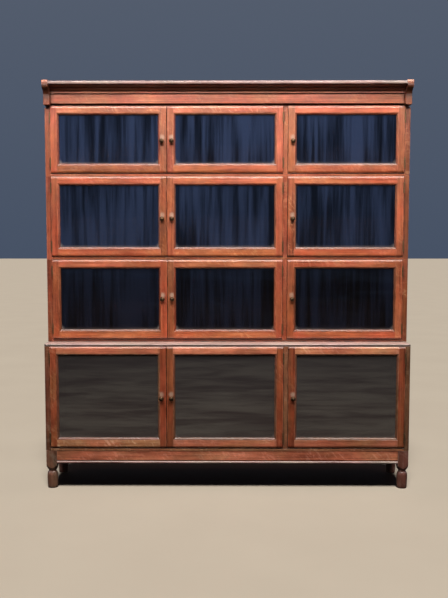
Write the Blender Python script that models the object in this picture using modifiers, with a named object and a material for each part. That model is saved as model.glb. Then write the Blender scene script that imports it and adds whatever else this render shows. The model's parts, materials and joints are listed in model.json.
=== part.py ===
"""Four-tier sectional oak bookcase with twelve glazed, side-hung doors.

Three shallow book sections stand on a deeper base section. A stand with four turned
legs carries the case and a cornice cap with raised ends closes it. Units are metres,
+Z is up, -Y is the front, and the origin lies on the floor below the middle of the
overall box.
"""

import math
from collections import namedtuple

import bmesh
import bpy
from mathutils import Vector

# Overall size
WIDTH = 1.330
UPPER_DEPTH = 0.200
BASE_DEPTH = 0.275
BACK = 0.150  # Y of the case's back
FIT = 0.0003  # gap between pieces that touch
OVERLAP = 0.002  # how far joined shapes sink into each other
CUT_PAST = 0.01  # how far a cutter runs past the faces it cuts
WELD = 0.00001

# Front planes, along Y
BASE_FRONT = BACK - BASE_DEPTH
UPPER_FRONT = BACK - UPPER_DEPTH

# Case boards
SIDE_THICK = 0.0195
PARTITION_THICK = 0.016
LIP_HEIGHT = 0.008  # front edge of a section's bottom board
BOARD_THICK = 0.016
STOP_RAIL_DEPTH = 0.018
STOP_RAIL_HEIGHT = 0.020
BACK_PANEL_THICK = 0.007
BACK_PANEL_INSET = 0.0005
UPPER_EDGE_RADIUS = 0.003
BASE_EDGE_RADIUS = 0.009
LEDGE_THICK = 0.009
LEDGE_ROUND = 0.004

# Heights, from the floor up
STAND_TOP = 0.1412
BASE_BOTTOM = STAND_TOP + FIT
LEDGE_TOP = 0.5342
TIER3_BOTTOM = LEDGE_TOP + FIT
TIER_HEIGHT = 0.304  # tiers 2 and 3
TOP_TIER_HEIGHT = 0.2465
TIER2_BOTTOM = TIER3_BOTTOM + TIER_HEIGHT
TIER1_BOTTOM = TIER2_BOTTOM + TIER_HEIGHT
TIER1_TOP = TIER1_BOTTOM + TOP_TIER_HEIGHT

# Doors
DOOR_THICK = 0.020
DOOR_PROUD = 0.0055  # how far a door's face stands in front of the case
DOOR_SIDE_GAP = 0.0015
DOOR_MEETING_GAP = 0.002
DOOR_BOTTOM_GAP = 0.0015
DOOR_TOP_GAP = 0.001
DOOR_BACK_GAP = 0.001
TOP_DOOR_LAP = 0.006  # the top tier's doors rise over the foot of the cap
STILE = 0.0303
TOP_RAIL = 0.0323
UPPER_BOTTOM_RAIL = 0.0355
BASE_BOTTOM_RAIL = 0.0389
EDGE_BEVEL_HEIGHT = 0.008  # rounded top and bottom edges of a door's face
SIGHT_DEPTH = 0.008  # thickness of the frame in front of the glass
REBATE = 0.007
GLASS_THICK = 0.003

# Knobs
KNOB_REACH = 0.0195
KNOB_RADIUS = 0.00875
KNOB_HEAD = 0.0065  # half the head's height
KNOB_INSET = 0.017  # from the door's free edge

# Cap
CAP_FOOT_INSET = 0.002
CAP_FOOT_FRONT = -0.033
EAR_BOTTOM = 1.3957
EAR_TOP = 1.480
EAR_THICK = 0.022
EAR_INSET = 0.0015
FRIEZE_BOTTOM = 1.4035
FRIEZE_TOP = 1.4365
FILLET_TOP = 1.444
FILLET_REACH = 0.008
CORNICE_REACH = 0.054
COVE_SETBACK = 0.006  # the cove starts this far behind the nosing's front
NOSING_BOTTOM = 1.4635
CORNICE_TOP = 1.4755
EAR_NOSE_REACH = 0.052
EAR_NOSE_TOP_RADIUS = 0.008
EAR_NOSE_RADIUS = 0.012
EAR_NOSE_MIDDLE = 1.4605
EAR_FACE_REACH = 0.0255  # the ear's lower face stands this far in front of the frieze
EAR_HOLLOW_BOTTOM = 1.431
EAR_HOLLOW = (0.045, 0.0235)  # radii of the hollow below the nose

# Stand
STAND_BACK = 0.1245
LEG_SIDE = 0.039
LEG_CENTRE_X = 0.644
STAND_FRONT = BASE_FRONT + 0.0005
RAIL_BOTTOM = 0.093
RAIL_INSET = 0.0015  # rail faces lie behind the legs' faces
RAIL_THICK = 0.020
CORNER_BLOCK = 0.045
BEAD_RADIUS = 0.005
SHOULDER_HEIGHT = 0.0915  # where the square post gives way to the turning
POST_CLEAR = 0.030  # radius that clears the post's corners

ARC_STEPS = 4
KNOB_STEPS = 16
LEG_STEPS = 24

Tier = namedtuple("Tier", "name bottom top front door_top bottom_rail knob_drop")

TIERS = (
    Tier("tier1", TIER1_BOTTOM, TIER1_TOP, UPPER_FRONT, TIER1_TOP + TOP_DOOR_LAP,
         UPPER_BOTTOM_RAIL, 0.006),
    Tier("tier2", TIER2_BOTTOM, TIER1_BOTTOM - FIT, UPPER_FRONT,
         TIER1_BOTTOM - DOOR_TOP_GAP, UPPER_BOTTOM_RAIL, 0.008),
    Tier("tier3", TIER3_BOTTOM, TIER2_BOTTOM - FIT, UPPER_FRONT,
         TIER2_BOTTOM - DOOR_TOP_GAP, UPPER_BOTTOM_RAIL, -0.002),
    Tier("base", BASE_BOTTOM, LEDGE_TOP - LEDGE_THICK - FIT, BASE_FRONT,
         LEDGE_TOP - LEDGE_THICK - DOOR_TOP_GAP, BASE_BOTTOM_RAIL, 0.002),
)

HALF_WIDTH = WIDTH / 2
INNER_HALF = HALF_WIDTH - SIDE_THICK
DOOR_WIDTH = (2 * INNER_HALF - PARTITION_THICK - 4 * DOOR_SIDE_GAP - DOOR_MEETING_GAP) / 3
LEFT_DOOR_X = -INNER_HALF + DOOR_SIDE_GAP
MIDDLE_DOOR_X = LEFT_DOOR_X + DOOR_WIDTH + DOOR_MEETING_GAP
PARTITION_X = MIDDLE_DOOR_X + DOOR_WIDTH + DOOR_SIDE_GAP
RIGHT_DOOR_X = PARTITION_X + PARTITION_THICK + DOOR_SIDE_GAP
BACK_PANEL_FRONT = BACK - BACK_PANEL_INSET - BACK_PANEL_THICK

X_EXTRUSION = (math.pi / 2, 0, math.pi / 2)  # outline given as (Y, Z)
FRONTWARDS = (math.pi / 2, 0, 0)  # turns a shape's own +Z to -Y


def clear_scene():
    for scene_object in list(bpy.data.objects):
        bpy.data.objects.remove(scene_object)


def make_collection(name):
    collection = bpy.data.collections.new(name)
    bpy.context.scene.collection.children.link(collection)
    return collection


def make_material(name, color, roughness, metallic=0.0, alpha=1.0):
    material = bpy.data.materials.new(name)
    material.use_nodes = True
    shader = material.node_tree.nodes["Principled BSDF"]
    shader.inputs["Base Color"].default_value = (*color, 1)
    shader.inputs["Roughness"].default_value = roughness
    shader.inputs["Metallic"].default_value = metallic
    shader.inputs["Alpha"].default_value = alpha
    return material


def place(name, data, collection, material=None, location=(0, 0, 0), rotation=(0, 0, 0)):
    placed = bpy.data.objects.new(name, data)
    placed.location = location
    placed.rotation_euler = rotation
    collection.objects.link(placed)
    if material and not data.materials:
        data.materials.append(material)
    return placed


def box(name, low, high, collection, material=None):
    """A box between two corners, with its origin at its middle."""
    low, high = Vector(low), Vector(high)
    shape = bmesh.new()
    bmesh.ops.create_cube(shape, size=1)
    bmesh.ops.scale(shape, vec=high - low, verts=shape.verts)
    mesh = bpy.data.meshes.new(name)
    shape.to_mesh(mesh)
    shape.free()
    return place(name, mesh, collection, material, (low + high) / 2)


def arc(center, radius, start, end, steps=ARC_STEPS):
    """Points on an arc, with its angles in degrees."""
    angles = [math.radians(start + (end - start) * i / steps) for i in range(steps + 1)]
    return [(center[0] + radius[0] * math.cos(a), center[1] + radius[1] * math.sin(a))
            for a in angles]


def extrusion(name, outlines, length, collection, material, location, rotation=(0, 0, 0)):
    """A solid mesh from flat outlines, the later ones being holes in the first."""
    curve = bpy.data.curves.new(name, "CURVE")
    curve.dimensions = "2D"
    curve.fill_mode = "BOTH"
    curve.extrude = length / 2
    for outline in outlines:
        spline = curve.splines.new("POLY")
        spline.points.add(len(outline) - 1)
        for point, (across, up) in zip(spline.points, outline):
            point.co = (across, up, 0, 1)
        spline.use_cyclic_u = True
    flat = place(name + "_outline", curve, collection, None, location, rotation)
    bpy.context.view_layer.update()
    evaluated = flat.evaluated_get(bpy.context.evaluated_depsgraph_get())
    mesh = bpy.data.meshes.new_from_object(evaluated)
    bpy.data.objects.remove(flat)
    mesh.name = name
    shape = bmesh.new()
    shape.from_mesh(mesh)
    bmesh.ops.remove_doubles(shape, verts=shape.verts, dist=WELD)
    shape.to_mesh(mesh)
    shape.free()
    return place(name, mesh, collection, material, location, rotation)


def turned(name, profile, steps, collection, material=None):
    """A turned solid from a profile of (radius, height) points, listed from its top down."""
    mesh = bpy.data.meshes.new(name)
    edges = [(i, i + 1) for i in range(len(profile) - 1)]
    mesh.from_pydata([(radius, 0, height) for radius, height in profile], edges, [])
    solid = place(name, mesh, collection, material)
    screw = solid.modifiers.new("Turn", "SCREW")
    screw.steps = steps
    screw.render_steps = steps
    screw.use_merge_vertices = True
    screw.merge_threshold = WELD
    screw.use_smooth_shade = True
    return solid


def combine(target, tool, operation, cutters):
    """Joins, cuts or trims the target with a tool that is itself left out of the model."""
    for collection in list(tool.users_collection):
        collection.objects.unlink(tool)
    cutters.objects.link(tool)
    tool.hide_render = True
    tool.display_type = "WIRE"
    boolean = target.modifiers.new(tool.name, "BOOLEAN")
    boolean.operation = operation
    boolean.solver = "EXACT"
    boolean.object = tool


def section_side(tier, hand, parts, oak):
    """A side board; its outer front edge is rounded over."""
    outer = hand * HALF_WIDTH
    inner = hand * INNER_HALF
    radius = BASE_EDGE_RADIUS if tier.name == "base" else UPPER_EDGE_RADIUS
    center = (outer - hand * radius, tier.front + radius)
    corner = arc(center, (hand * radius, radius), 0, -90)
    outline = [(outer, BACK)] + corner + [(inner, tier.front), (inner, BACK)]
    name = f"{tier.name}_side_{'left' if hand < 0 else 'right'}"
    height = tier.top - tier.bottom
    middle = (0, 0, tier.bottom + height / 2)
    return extrusion(name, [outline], height, parts, oak, middle)


def section_frame(tier, parts, cutters, oak):
    """Bottom board with its rebated front lip, the partition and the top stop rail."""
    rebate_back = tier.front - DOOR_PROUD + DOOR_THICK + DOOR_BACK_GAP
    back = BACK_PANEL_FRONT - FIT
    half_length = INNER_HALF - FIT
    outline = [
        (back, tier.bottom),
        (tier.front, tier.bottom),
        (tier.front, tier.bottom + LIP_HEIGHT),
        (rebate_back, tier.bottom + LIP_HEIGHT),
        (rebate_back, tier.bottom + BOARD_THICK),
        (back, tier.bottom + BOARD_THICK),
    ]
    name = f"{tier.name}_shelf_frame"
    frame = extrusion(name, [outline], 2 * half_length, parts, oak, (0, 0, 0), X_EXTRUSION)
    partition = box(f"{name}_partition", (PARTITION_X, tier.front, tier.bottom),
                    (PARTITION_X + PARTITION_THICK, back, tier.top), cutters)
    rail = box(f"{name}_rail", (-half_length, rebate_back, tier.top - STOP_RAIL_HEIGHT),
               (half_length, rebate_back + STOP_RAIL_DEPTH, tier.top), cutters)
    combine(frame, partition, "UNION", cutters)
    combine(frame, rail, "UNION", cutters)
    if tier.name == "base":
        combine(frame, ledge_board(parts, cutters, oak), "UNION", cutters)
    return frame


def ledge_board(parts, cutters, oak):
    """The base section's top board, rounded at its front corners and along its top edge."""
    radius = BASE_EDGE_RADIUS
    right = arc((HALF_WIDTH - radius, BASE_FRONT + radius), (radius, radius), 0, -90)
    left = [(-x, y) for x, y in reversed(right)]
    outline = [(HALF_WIDTH, BACK)] + right + left + [(-HALF_WIDTH, BACK)]
    middle = (0, 0, LEDGE_TOP - LEDGE_THICK / 2)
    board = extrusion("base_ledge", [outline], LEDGE_THICK, parts, oak, middle)
    shape = bmesh.new()
    shape.from_mesh(board.data)
    top_edges = [edge for edge in shape.edges
                 if all(vert.co.z > 0 and vert.co.y < BACK for vert in edge.verts)
                 and edge.is_manifold and edge.calc_face_angle() > math.radians(60)]
    bmesh.ops.bevel(shape, geom=top_edges, offset=LEDGE_ROUND, segments=2,
                    profile=0.5, affect="EDGES")
    shape.to_mesh(board.data)
    shape.free()
    underside = LEDGE_TOP - LEDGE_THICK
    tenon = box("base_ledge_tenon",
                (-INNER_HALF + OVERLAP, BASE_FRONT + DOOR_THICK, underside - OVERLAP),
                (INNER_HALF - OVERLAP, BACK_PANEL_FRONT - OVERLAP, underside + OVERLAP),
                cutters)
    combine(board, tenon, "UNION", cutters)
    return board


def section_back(tier, parts, panel_wood):
    return box(f"{tier.name}_back_panel",
               (-INNER_HALF + FIT, BACK_PANEL_FRONT, tier.bottom),
               (INNER_HALF - FIT, BACK_PANEL_FRONT + BACK_PANEL_THICK, tier.top),
               parts, panel_wood)


def door(tier, place_name, left_x, hinge_side, parts, cutters, finishes):
    """A framed glass door on an empty that stands on its hinge axis."""
    oak, glass, brass = finishes
    face = tier.front - DOOR_PROUD
    bottom = tier.bottom + LIP_HEIGHT + DOOR_BOTTOM_GAP
    right_x = left_x + DOOR_WIDTH
    name = f"{tier.name}_door_{place_name}"
    hinge_x = left_x - DOOR_SIDE_GAP / 2 if hinge_side < 0 else right_x + DOOR_SIDE_GAP / 2
    axis = Vector((hinge_x, face, bottom))
    pivot = place(f"{name}_pivot", None, parts, None, axis)

    radius = (DOOR_PROUD, EDGE_BEVEL_HEIGHT)
    bevelled = (arc((face + radius[0], tier.door_top - radius[1]), radius, 90, 180)
                + arc((face + radius[0], bottom + radius[1]), radius, 180, 270))
    outline = bevelled + [(face + DOOR_THICK, bottom), (face + DOOR_THICK, tier.door_top)]
    middle_x = (left_x + right_x) / 2
    frame = extrusion(f"{name}_frame", [outline], DOOR_WIDTH, parts, oak,
                      (middle_x, 0, 0), X_EXTRUSION)
    sight_low = (left_x + STILE, bottom + tier.bottom_rail)
    sight_high = (right_x - STILE, tier.door_top - TOP_RAIL)
    sight = box(f"{name}_sight", (sight_low[0], face - CUT_PAST, sight_low[1]),
                (sight_high[0], face + DOOR_THICK + CUT_PAST, sight_high[1]), cutters)
    rebate = box(f"{name}_rebate",
                 (sight_low[0] - REBATE, face + SIGHT_DEPTH, sight_low[1] - REBATE),
                 (sight_high[0] + REBATE, face + DOOR_THICK + CUT_PAST,
                  sight_high[1] + REBATE),
                 cutters)
    combine(frame, sight, "DIFFERENCE", cutters)
    combine(frame, rebate, "DIFFERENCE", cutters)

    reach = REBATE - FIT
    pane = box(f"{name}_glass",
               (sight_low[0] - reach, face + SIGHT_DEPTH + FIT, sight_low[1] - reach),
               (sight_high[0] + reach, face + SIGHT_DEPTH + FIT + GLASS_THICK,
                sight_high[1] + reach), parts, glass)

    knob_x = right_x - KNOB_INSET if hinge_side < 0 else left_x + KNOB_INSET
    knob_z = (bottom + tier.door_top) / 2 - tier.knob_drop
    knob = turned(f"{name}_knob", knob_profile(), KNOB_STEPS, parts, brass)
    knob.location = (knob_x, face, knob_z)
    knob.rotation_euler = FRONTWARDS

    for piece in (frame, pane, knob):
        piece.parent = pivot
        piece.location -= axis
    for cutter in (sight, rebate):
        cutter.parent = pivot
        cutter.location -= axis


def knob_profile():
    """Rose, waisted neck and a rounded head, from the tip to the door's face."""
    head = arc((0, KNOB_REACH - KNOB_HEAD), (KNOB_RADIUS, KNOB_HEAD), 90, -35, 6)
    foot = [(0.0040, 0.0065), (0.0034, 0.0045), (0.0062, 0.0022), (0.0065, FIT), (0, FIT)]
    return head + foot


def cap_cornice(parts, cutters, oak):
    """Frieze, fillet, cove, nosing and top board, standing on a narrower foot."""
    front = UPPER_FRONT
    cove_front = front - CORNICE_REACH + COVE_SETBACK
    fillet = front - FILLET_REACH
    cove = arc((cove_front, FILLET_TOP), (fillet - cove_front, NOSING_BOTTOM - FILLET_TOP),
               0, 90)
    nose_radius = (CORNICE_TOP - NOSING_BOTTOM) / 2
    nose = arc((front - CORNICE_REACH + nose_radius, NOSING_BOTTOM + nose_radius),
               (nose_radius, nose_radius), 270, 90, 6)
    outline = [
        (BACK, EAR_BOTTOM),
        (CAP_FOOT_FRONT, EAR_BOTTOM),
        (CAP_FOOT_FRONT, FRIEZE_BOTTOM),
        (front, FRIEZE_BOTTOM),
        (front, FRIEZE_TOP),
        (fillet, FRIEZE_TOP),
    ] + cove + nose + [(BACK, CORNICE_TOP)]
    half_length = HALF_WIDTH - EAR_INSET - EAR_THICK - FIT
    cornice = extrusion("cap_cornice", [outline], 2 * half_length, parts, oak,
                        (0, 0, 0), X_EXTRUSION)
    foot_half = HALF_WIDTH - CAP_FOOT_INSET
    foot = box("cap_foot", (-foot_half, CAP_FOOT_FRONT, TIER1_TOP + FIT),
               (foot_half, BACK, EAR_BOTTOM - FIT), cutters)
    bridge = box("cap_foot_bridge", (-half_length, CAP_FOOT_FRONT, EAR_BOTTOM - OVERLAP),
                 (half_length, BACK, EAR_BOTTOM + OVERLAP), cutters)
    combine(cornice, foot, "UNION", cutters)
    combine(cornice, bridge, "UNION", cutters)
    return cornice


def cap_ear(hand, parts, oak):
    """Raised end of the cap: a rounded nose over a shallow hollow and a flat lower face."""
    nose_front = UPPER_FRONT - EAR_NOSE_REACH
    face = UPPER_FRONT - EAR_FACE_REACH
    top_center = (nose_front + EAR_NOSE_TOP_RADIUS, EAR_TOP - EAR_NOSE_TOP_RADIUS)
    nose = (arc(top_center, (EAR_NOSE_TOP_RADIUS, EAR_NOSE_TOP_RADIUS), 90, 180)
            + arc((nose_front + EAR_NOSE_RADIUS, EAR_NOSE_MIDDLE),
                  (EAR_NOSE_RADIUS, EAR_NOSE_RADIUS), 180, 230))
    hollow = arc((face - EAR_HOLLOW[0], EAR_HOLLOW_BOTTOM), EAR_HOLLOW, 58, 0)
    outline = nose + hollow + [(face, EAR_BOTTOM), (BACK, EAR_BOTTOM), (BACK, EAR_TOP)]
    middle = hand * (HALF_WIDTH - EAR_INSET - EAR_THICK / 2)
    name = f"cap_end_{'left' if hand < 0 else 'right'}"
    return extrusion(name, [outline], EAR_THICK, parts, oak, (middle, 0, 0), X_EXTRUSION)


def stand_frame(parts, cutters, oak):
    """Rails notched round the legs, with a corner block behind each leg and a front bead."""
    half_x = LEG_CENTRE_X + LEG_SIDE / 2 - RAIL_INSET
    notch_x = LEG_CENTRE_X - LEG_SIDE / 2 - FIT
    front = STAND_FRONT + RAIL_INSET
    back = STAND_BACK - RAIL_INSET
    notch_front = STAND_FRONT + LEG_SIDE + FIT
    notch_back = STAND_BACK - LEG_SIDE - FIT
    quarter = [(notch_x, front), (notch_x, notch_front), (half_x, notch_front),
               (half_x, notch_back), (notch_x, notch_back), (notch_x, back)]
    outer = quarter + [(-x, y) for x, y in reversed(quarter)]
    inner_x = half_x - RAIL_THICK
    low = front + RAIL_THICK
    high = back - RAIL_THICK
    half_hole = [(inner_x - CORNER_BLOCK, low), (inner_x, low + CORNER_BLOCK),
                 (inner_x, high - CORNER_BLOCK), (inner_x - CORNER_BLOCK, high)]
    hole = half_hole + [(-x, y) for x, y in reversed(half_hole)]
    height = STAND_TOP - RAIL_BOTTOM
    frame = extrusion("stand_frame", [outer, hole], height, parts, oak,
                      (0, 0, RAIL_BOTTOM + height / 2))
    bead_outline = (arc((front, RAIL_BOTTOM + BEAD_RADIUS), (RAIL_INSET, BEAD_RADIUS),
                        90, 270)
                    + [(front + RAIL_THICK / 2, RAIL_BOTTOM),
                       (front + RAIL_THICK / 2, RAIL_BOTTOM + 2 * BEAD_RADIUS)])
    bead = extrusion("stand_bead", [bead_outline], 2 * notch_x, parts, oak,
                     (0, 0, 0), X_EXTRUSION)
    combine(frame, bead, "UNION", cutters)
    return frame


def leg_profile():
    """Neck and barrel of the turned foot, below a shoulder that clears the square post."""
    barrel = [(0.0155, 0.0605), (0.0186, 0.0560), (0.0193, 0.0480), (0.0191, 0.0300),
              (0.0183, 0.0100), (0.0172, 0.0020), (0.0160, 0), (0, 0)]
    shoulder = [(0, STAND_TOP + CUT_PAST), (POST_CLEAR, STAND_TOP + CUT_PAST),
                (POST_CLEAR, SHOULDER_HEIGHT), (0.0135, 0.0675), (0.0135, 0.0640)]
    return shoulder + barrel


def legs(parts, cutters, oak):
    """Square posts turned to a neck and a barrel foot below the rails."""
    post_y = {"front": STAND_FRONT + LEG_SIDE / 2, "back": STAND_BACK - LEG_SIDE / 2}
    half = LEG_SIDE / 2
    for row, y in post_y.items():
        for side, hand in (("left", -1), ("right", 1)):
            name = f"leg_{row}_{side}"
            x = hand * LEG_CENTRE_X
            post = box(name, (x - half, y - half, 0), (x + half, y + half, STAND_TOP - FIT),
                       parts, oak)
            turning = turned(f"{name}_turning", leg_profile(), LEG_STEPS, cutters)
            turning.location = (x, y, 0)
            combine(post, turning, "INTERSECT", cutters)


def build():
    clear_scene()
    parts = make_collection("sectional_bookcase")
    cutters = make_collection("cutters")
    oak = make_material("oak", (0.30, 0.095, 0.045), 0.35)
    panel_wood = make_material("back_panel", (0.16, 0.075, 0.045), 0.6)
    glass = make_material("glass", (0.55, 0.60, 0.60), 0.05, alpha=0.35)
    brass = make_material("brass", (0.20, 0.13, 0.07), 0.35, metallic=1.0)

    for tier in TIERS:
        for hand in (-1, 1):
            section_side(tier, hand, parts, oak)
        section_frame(tier, parts, cutters, oak)
        section_back(tier, parts, panel_wood)
        for place_name, left_x, hinge_side in (("left", LEFT_DOOR_X, -1),
                                               ("middle", MIDDLE_DOOR_X, 1),
                                               ("right", RIGHT_DOOR_X, 1)):
            door(tier, place_name, left_x, hinge_side, parts, cutters, (oak, glass, brass))
    cap_cornice(parts, cutters, oak)
    for hand in (-1, 1):
        cap_ear(hand, parts, oak)
    stand_frame(parts, cutters, oak)
    legs(parts, cutters, oak)


build()
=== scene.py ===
"""Looks of the sectional oak bookcase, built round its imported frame.

Every board of the case, the cap, the stand and the twelve doors is a piece of its own.
A board carries its own coordinates as attributes, so that the grain follows its length
and its edges wear, whatever way it stands. Units are metres and +Z is up.
"""

import json
import math
import random

import bmesh
import bpy
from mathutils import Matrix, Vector


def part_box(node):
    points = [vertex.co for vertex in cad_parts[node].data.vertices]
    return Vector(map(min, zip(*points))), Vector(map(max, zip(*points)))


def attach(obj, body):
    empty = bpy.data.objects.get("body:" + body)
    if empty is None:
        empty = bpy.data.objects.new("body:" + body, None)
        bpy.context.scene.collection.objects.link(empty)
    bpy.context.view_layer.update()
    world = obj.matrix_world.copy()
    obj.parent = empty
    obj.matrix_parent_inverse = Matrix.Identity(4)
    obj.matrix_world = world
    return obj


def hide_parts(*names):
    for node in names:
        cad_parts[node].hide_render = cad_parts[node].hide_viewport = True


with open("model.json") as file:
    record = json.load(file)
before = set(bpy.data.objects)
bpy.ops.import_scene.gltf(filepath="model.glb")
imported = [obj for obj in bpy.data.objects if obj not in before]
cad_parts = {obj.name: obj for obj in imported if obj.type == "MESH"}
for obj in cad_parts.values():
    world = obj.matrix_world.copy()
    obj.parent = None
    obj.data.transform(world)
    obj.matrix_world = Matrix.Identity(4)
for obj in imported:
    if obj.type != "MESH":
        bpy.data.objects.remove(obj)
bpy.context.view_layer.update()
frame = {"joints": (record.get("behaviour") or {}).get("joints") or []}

TIERS = ("tier1", "tier2", "tier3", "base")
HINGE_SIDES = {"left": -1, "middle": 1, "right": 1}
X, Y, Z = 0, 1, 2

# Tones: how light a piece of wood is, against its material's own colour; some also paint in light
# and shade, as noted by them. A pair is the range that each piece draws its tone from, and a
# shade is one fixed tone.
BOARD_TONES = {X: (0.94, 1.12), Y: (0.80, 1.05), Z: (0.62, 0.82)}  # upright grain is painted darker, for the sheen that level grain catches from overhead light
SIDE_TONES = {"tier1": (0.52, 0.58), "tier2": (0.50, 0.56), "tier3": (0.46, 0.50),
              "base": (0.42, 0.46)}
# Stiles stand upright, so they are painted darker than the level rails for the same sheen; each
# tier has its own range
STILE_TONES = {"tier1": (0.66, 0.86), "tier2": (0.66, 0.88), "tier3": (0.60, 0.76),
               "base": (0.62, 0.76)}
RAIL_TONES = {"tier1": (0.90, 1.04), "tier2": (0.88, 1.02), "tier3": (0.84, 0.98),
              "base": (1.24, 1.42)}
BOTTOM_RAIL_FACTOR = {"tier1": 0.81, "tier2": 1.0, "tier3": 0.96, "base": 1.0}
# The lip under each door of the upper three tiers is darkened as painted shade under the door;
# the base's lip is lighter
LIP_TONES = {"tier1": (0.66, 0.74), "tier2": (0.62, 0.70), "tier3": (0.34, 0.40),
             "base": (1.12, 1.22)}
MOULDING_TONES = (0.42, 0.50)
# The ledge is made pale as a painted highlight where its top faces the overhead light, and its
# edge below the rounding is painted darker
LEDGE_TONES = (1.60, 1.70)
LEDGE_EDGE_SHADE = 0.26
NOSING_TONES = (0.50, 0.55)
CAP_BACK_SHADE = 0.34
# The cove is darkened as painted shade under the nosing, and the fillet below it is painted
# lighter, as partly lit
COVE_TONES = (0.36, 0.40)
FILLET_SHADE = 0.80
EAR_TONES = (0.50, 0.56)
# An ear's hollow is darkened as painted shade under its nose, and its top is made paler as a
# painted highlight
EAR_HOLLOW_SHADE = 0.16
EAR_TOP_SHADE = 0.90
STAND_TONES = (1.32, 1.46)
BEAD_TONES = (0.90, 1.0)
LEG_TONES = (0.50, 0.58)

# Wear and dust
KNOB_PATCH_COLOR = (0.44, 0.30, 0.22)
KNOB_PATCH_ABOVE = 0.006  # a pale patch is painted on the wood just above each knob
FAR_AWAY = (9, 9, 9)  # the pale patch's place on a board that has no knob
# Dust, with a painted sheen where surfaces face up towards the overhead light
DUST_AND_SHEEN_COLOR = (0.78, 0.62, 0.54)
HAZE_COLOR = (0.26, 0.20, 0.18)  # dust caught along the foot of each pane
RECESS_REACH = 0.022  # how far from a corner the painted shade starts to darken the wood
PANE_REFLECTION = {"tier1": (0.84, 0.0), "tier2": (0.72, 0.0), "tier3": (0.30, 0.1),
             "base": (1.10, 1.0)}  # how bright the painted reflection is, and how much of it is brown: dirt with a painted floor reflection

# Shared joinery sizes
ARRIS = 0.0003  # softened edge of a fitted board
SOFT_EDGE = 0.0008  # softened edge of a board's visible side
FIT = 0.0003  # gap between fitted boards
BOARD_THICK = 0.016
LIP_HEIGHT = 0.008
DOOR_PROUD = 0.0055
DOOR_THICK = 0.020
REBATE_BACK = DOOR_THICK + 0.001
STOP_RAIL_DEPTH = 0.018
STOP_RAIL_HEIGHT = 0.020
PARTITION_THICK = 0.016
PARTITION_GAP = 0.0015
CASE_EDGE_RADIUS = {"tier1": 0.003, "tier2": 0.003, "tier3": 0.003, "base": 0.009}
BACK_SCREWS = 8  # along each long edge of a back board
BACK_SCREW_INSET = 0.012
SCREW_RADIUS = 0.0032
LEDGE_THICK = 0.009
LEDGE_ROUND = 0.004
LEDGE_BACK_SHARE = 0.1  # the back edge is rounded a tenth as much
SHARP_ANGLE = 38  # degrees; edges that turn by more aren't shaded smooth

# Doors
TOP_EDGE_ROUND = (0.0055, 0.008)  # depth and height of the rounding above a door's face
BOTTOM_EDGE_ROUND = (0.0100, 0.0105)
PANE_LAP = 0.0067  # how far the pane reaches behind the frame
PANE_EDGE = 0.0005
MOULDING = 0.007  # width of the moulding round the pane
MOULDING_DEPTH = 0.0078
MOULDING_QUIRK = 0.0008  # the moulding starts this far behind the door's face
MOULDING_STEP = 0.0010
MOULDING_CURVE = 0.0050
BEAD_FRONT = 0.0117  # glazing bead, behind the pane
BEAD_BACK = 0.0185
BEAD_FLAT = 0.0022
BEAD_CURVE = 0.0044
KNOB_HEAD = 0.0065  # half the height of a knob's rounded head
KNOB_FOOT = ((0.0002, 0), (0.0064, 0), (0.0066, 0.0004), (0.0064, 0.0011), (0.0056, 0.0016),
             (0.0050, 0.0018), (0.0036, 0.0032), (0.0033, 0.0048), (0.0040, 0.0064))
KNOB_STEPS = 32
CATCH_PLATE = (0.011, 0.0045)  # half length and half width
CATCH_FROM_BACK = 0.0008
CATCH_BALL = 0.0022

# Hinges
LEAF_THICK = 0.0011
LEAF_FROM_AXIS = (0.0003, 0.0004)  # sideways and backwards
LEAF_LENGTH = 0.038
LEAF_DEPTH = 0.015
LEAF_SCREW_RADIUS = 0.0026
KNUCKLES = 5
KNUCKLE_RADIUS = 0.0024
KNUCKLE_GAP = 0.00015  # taken off each end of a knuckle
PIN_HEAD = 0.0012
HINGE_FROM_TOP = 0.042
HINGE_FROM_BOTTOM = 0.038

# Cap
NOSING_THICK = 0.012
NOSING_ROUND = 0.0025
NOSING_TOP_ROUND = 0.0050
COVE_LIP_SETBACK = 0.010
COVE_LIP_HEIGHT = 0.0018
COVE_MIDDLE = 1.4545
COVE_STEP = 0.0012
COVE_UPPER_SHARE = 0.45  # of the way back from the lip to the fillet
FILLET_TOP = 1.444
FILLET_BOTTOM = 1.4388
FILLET_REACH = 0.008
FRIEZE_BOTTOM = 1.4035
FRIEZE_THICK = 0.018
FRIEZE_EDGE = 0.0018
CAP_BOARD_THICK = 0.004
CAP_FOOT_FRONT = -0.033
EAR_NOSE_TOP_RADIUS = 0.008
EAR_NOSE_RADIUS = 0.012
EAR_NOSE_MIDDLE = 1.4605
EAR_FACE_SETBACK = 0.0265  # from the front of the nose to the flat face below
EAR_HOLLOW_BOTTOM = 1.431
EAR_HOLLOW = (0.045, 0.0235)  # depth and height of the hollow's curve
EAR_EDGE = 0.0012

# Stand
STAND_RAIL_THICK = 0.020
STAND_RAIL_INSET = 0.0015
CORNER_BLOCK = 0.045
BEAD_RADIUS = 0.0045
BEAD_REACH = 0.0038
BEAD_SETBACK = 0.0005
BEAD_THICK = 0.008
GROOVE_HEIGHT = 0.004
GROOVE_DEPTH = 0.0026
GROOVE_SPLAY = 0.001

# Legs: radius and height above the floor
LEG_SHOULDER_LOW = (0.0139, 0.0668)
LEG_SHOULDER_HIGH = (0.0300, 0.0915)
LEG_EASING = 1.372  # reach of the post's eased corners, in half widths; sharp is 1.414
LEG_STEPS = 64
SHOULDER_STEPS = 14


# Node helpers

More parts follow.
